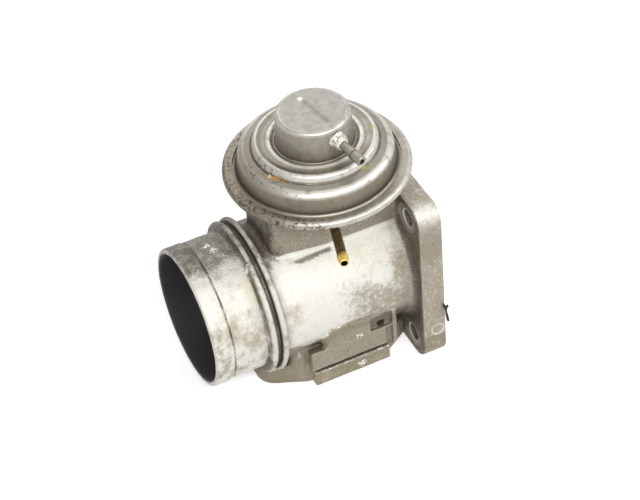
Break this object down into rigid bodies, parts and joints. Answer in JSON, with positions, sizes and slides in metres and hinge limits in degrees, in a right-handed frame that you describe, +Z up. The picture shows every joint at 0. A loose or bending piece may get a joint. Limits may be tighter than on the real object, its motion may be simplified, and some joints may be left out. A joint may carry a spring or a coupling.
{
  "type": "egr valve",
  "caption": "Vacuum-operated exhaust gas recirculation valve: cast air duct with hose spigot and manifold flange, port below, diaphragm actuator above.",
  "frame": {"origin": "centre of the manifold flange's bolt pattern, on its sealing face", "axes": "+X out of the flange into the manifold, along the air duct; +Z up along the valve stem towards the actuator"},
  "size_m": [0.1021, 0.083, 0.1249],
  "materials": {
    "cast_housing": "cast, sand-grained, grimy in the recesses",
    "plated_can": "zinc plated, satin",
    "braze_metal": "satin, lumpy",
    "tap_brass": "tarnished",
    "black_rubber": "matt",
    "seat_steel": "machined, sooty",
    "ground_steel": "ground",
    "bush_bronze": "machined",
    "gasket_board": "matt",
    "screw_steel": "zinc plated",
    "pressed_steel": "pressed, satin",
    "spring_steel": "drawn wire"
  },
  "bodies": {
    "body": {"valve_housing": "cast_housing", "valve_seat_ring": "seat_steel", "stem_guide_bush": "bush_bronze", "stem_seal": "black_rubber", "soot_shield": "seat_steel", "actuator_gasket": "gasket_board", "actuator_base": "plated_can", "actuator_screws": "screw_steel", "actuator_cover": "plated_can", "vacuum_nipple": "plated_can", "nipple_braze_collar": "braze_metal", "tap_tube": "tap_brass", "diaphragm": "black_rubber", "return_spring": "spring_steel", "flange_seal": "black_rubber"},
    "valve": {"valve_poppet": "seat_steel", "valve_stem": "ground_steel", "diaphragm_lower_plate": "pressed_steel", "diaphragm_upper_cup": "pressed_steel", "stem_nut": "screw_steel"}
  },
  "joints": [
    {"name": "valve_lift", "type": "slide", "parent": "body", "child": "valve", "axis": [0, 0, 1], "range_m": [0, 0.008], "stiffness_N_per_m": 2200, "springref_m": -0.006, "deforming": ["return_spring", "diaphragm"]}
  ]
}
